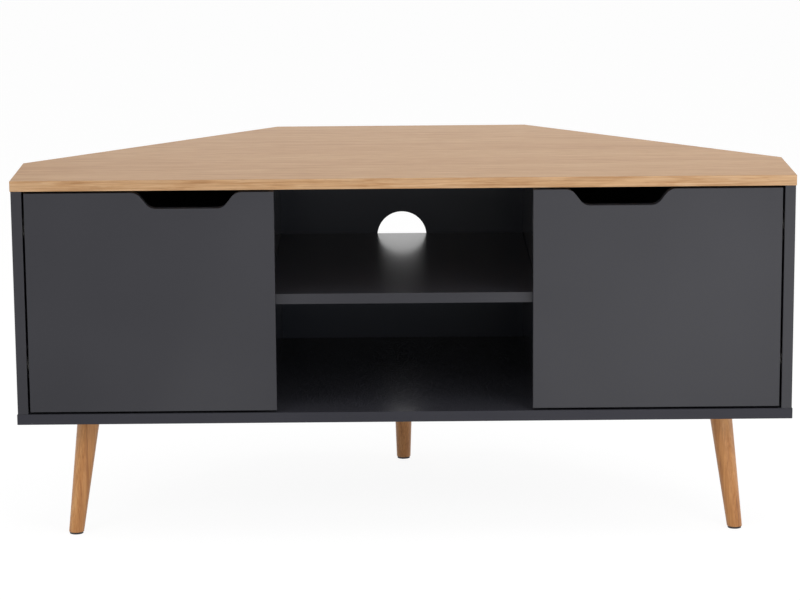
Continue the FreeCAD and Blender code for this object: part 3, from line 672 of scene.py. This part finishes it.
# Nails face the two walls; the box of a slanting nail goes a head's radius past its crown
nail_places = []
for middle, half in lumps("back_panel_nails"):
    facing = (outward(middle) + REAR).normalized()
    crown = middle + facing * (reach(half, facing) - NAIL_HEAD)
    nail_places.append(stand(crown, facing, UP))
spread("domed_nails", "back_panel_nails", "cabinet", nail(), nail_places)

# Cams of the shelf lie flat and face down; the others face into the cupboards
cam_places = []
for middle, half in lumps("cam_locks"):
    if half.z < half.x:
        facing = -UP
        bolt_way = outward(middle)
    else:
        facing = inward(middle) if abs(middle.x) > SIDE_PANEL_FROM else outward(middle)
        bolt_way = UP if middle.z > HALFWAY_UP else -UP
    cam_places.append(stand(middle + facing * reach(half, facing), facing, bolt_way))
spread("slotted_cams", "cam_locks", "cabinet", cam_lock(), cam_places)

# Floor: pale, white to the camera and in reflections, with the cabinet's soft shadow left on it
FLOOR_REACH = 14.0
FLOOR_PALE = 0.88
FLOOR_SHADE = 0.14
FLOOR_GLOW = 0.92

floor_corners = [(x * FLOOR_REACH, y * FLOOR_REACH, 0) for x, y in ((-1, -1), (1, -1), (1, 1), (-1, 1))]
floor_mesh = bpy.data.meshes.new("floor")
floor_mesh.from_pydata(floor_corners, [], [(0, 1, 2, 3)])
floor = add_object("floor", floor_mesh)


def background_rays(tree):
    """1 on rays that show the background: straight from the camera, reflected or let through."""
    path = add_node(tree, "ShaderNodeLightPath", {})
    total = path.outputs["Is Camera Ray"]
    for kind in ("Is Glossy Ray", "Is Transmission Ray"):
        either = add_node(tree, "ShaderNodeMath", {0: total, 1: path.outputs[kind]}, operation="MAXIMUM")
        total = either.outputs[0]
    return total


floor_look = bpy.data.materials.new("floor")
floor_look.use_nodes = True
floor_tree = floor_look.node_tree
floor_tree.nodes.clear()
pale = add_node(floor_tree, "ShaderNodeBsdfDiffuse", {"Color": (*alike(FLOOR_PALE), 1.0)})
faint = add_node(floor_tree, "ShaderNodeBsdfDiffuse", {"Color": (*alike(FLOOR_SHADE), 1.0)})
glow = add_node(floor_tree, "ShaderNodeEmission", {"Strength": FLOOR_GLOW})
seen = add_node(floor_tree, "ShaderNodeAddShader", {0: faint.outputs[0], 1: glow.outputs[0]})
choice = add_node(floor_tree, "ShaderNodeMixShader", {
    0: background_rays(floor_tree),
    1: pale.outputs[0],
    2: seen.outputs[0],
})
add_node(floor_tree, "ShaderNodeOutputMaterial", {"Surface": choice.outputs[0]})
floor_look.cycles.emission_sampling = "NONE"
floor_mesh.materials.append(floor_look)

# World: soft even light, white where it is seen
AMBIENT = 0.43

world = bpy.data.worlds.new("studio")
bpy.context.scene.world = world
world.use_nodes = True
world_tree = world.node_tree
world_tree.nodes.clear()
strength = add_node(world_tree, "ShaderNodeMapRange", {
    0: background_rays(world_tree),
    "To Min": AMBIENT,
    "To Max": 1.0,
})
backdrop = add_node(world_tree, "ShaderNodeBackground", {
    "Color": colour(WHITE),
    "Strength": strength.outputs[0],
})
add_node(world_tree, "ShaderNodeOutputWorld", {"Surface": backdrop.outputs[0]})
world.cycles.sampling_method = "NONE"


def softbox(name, at, towards, size, watts):
    """Soft rectangular lamp that faces a point and isn't itself seen by the camera."""
    lamp = bpy.data.lights.new(name, "AREA")
    lamp.shape = "RECTANGLE"
    lamp.size, lamp.size_y = size
    lamp.energy = watts
    holder = add_object(name, lamp)
    holder.location = at
    holder.rotation_mode = "QUATERNION"
    holder.rotation_quaternion = (Vector(towards) - Vector(at)).to_track_quat("-Z", "Y")
    holder.visible_camera = False


# Light from above and from both front sides, with a low lamp that reaches into the niche
softbox("overhead", at=(0.4, -0.5, 2.7), towards=(0.2, -0.5, 0.5), size=(2.6, 2.0), watts=24.4)
softbox("key", at=(1.5, -2.1, 1.6), towards=(0.1, -0.2, 0.3), size=(1.2, 1.0), watts=12.0)
softbox("low_key", at=(1.3, -3.0, 0.4), towards=(0.0, 0.0, 0.3), size=(1.6, 0.5), watts=6.0)
softbox("fill", at=(-1.7, -1.9, 1.4), towards=(-0.1, -0.2, 0.3), size=(1.2, 1.0), watts=10.8)

# Cards on the floor in front, mirrored in the doors
softbox("right_card", at=(0.65, -2.0, 0.02), towards=(0.65, -2.0, 1.0), size=(0.9, 2.4), watts=9.8)
softbox("left_card", at=(-0.31, -2.0, 0.02), towards=(-0.31, -2.0, 1.0), size=(0.2, 2.4), watts=1.3)

# Thin strips behind and beside the top, for the shine along its far edges, and low side lamps for the legs
softbox("rear_strip", at=(0.15, 0.8, 0.68), towards=(0.15, 0.0, 0.5), size=(1.5, 0.1), watts=0.55)
for hand, side, low_watts, strip_watts in (("left", -1, 0.8, 0.16), ("right", 1, 2.5, 0.65)):
    low_at = (1.7 * side, -0.2, 0.22)
    strip_at = (0.95 * side, 0.15, 0.66)
    softbox(f"{hand}_low", at=low_at, towards=(0.0, 0.1, 0.1), size=(1.0, 0.36), watts=low_watts)
    softbox(f"{hand}_strip", at=strip_at, towards=(0.0, 0.0, 0.5), size=(0.6, 0.1), watts=strip_watts)

# Camera of the photograph: metres and radians, with the lens and the sensor in millimetres
CAMERA_AT = (-0.0225, -4.3035, 1.1725)
CAMERA_YAW = -0.0041
CAMERA_PITCH = 0.2008
CAMERA_ROLL = -0.0076
CAMERA_LENS = 131.97
CAMERA_SENSOR = 36.0
CAMERA_SIGHT = 100.0

camera_data = bpy.data.cameras.new("camera")
camera_data.sensor_width = CAMERA_SENSOR
camera_data.lens = CAMERA_LENS
camera_data.clip_end = CAMERA_SIGHT
camera = add_object("camera", camera_data)
camera.matrix_world = (
    Matrix.Translation(CAMERA_AT)
    @ Matrix.Rotation(CAMERA_YAW, 4, "Z")
    @ Matrix.Rotation(math.pi / 2 - CAMERA_PITCH, 4, "X")
    @ Matrix.Rotation(CAMERA_ROLL, 4, "Z")
)
bpy.context.scene.camera = camera
bpy.context.scene.view_settings.view_transform = "Standard"
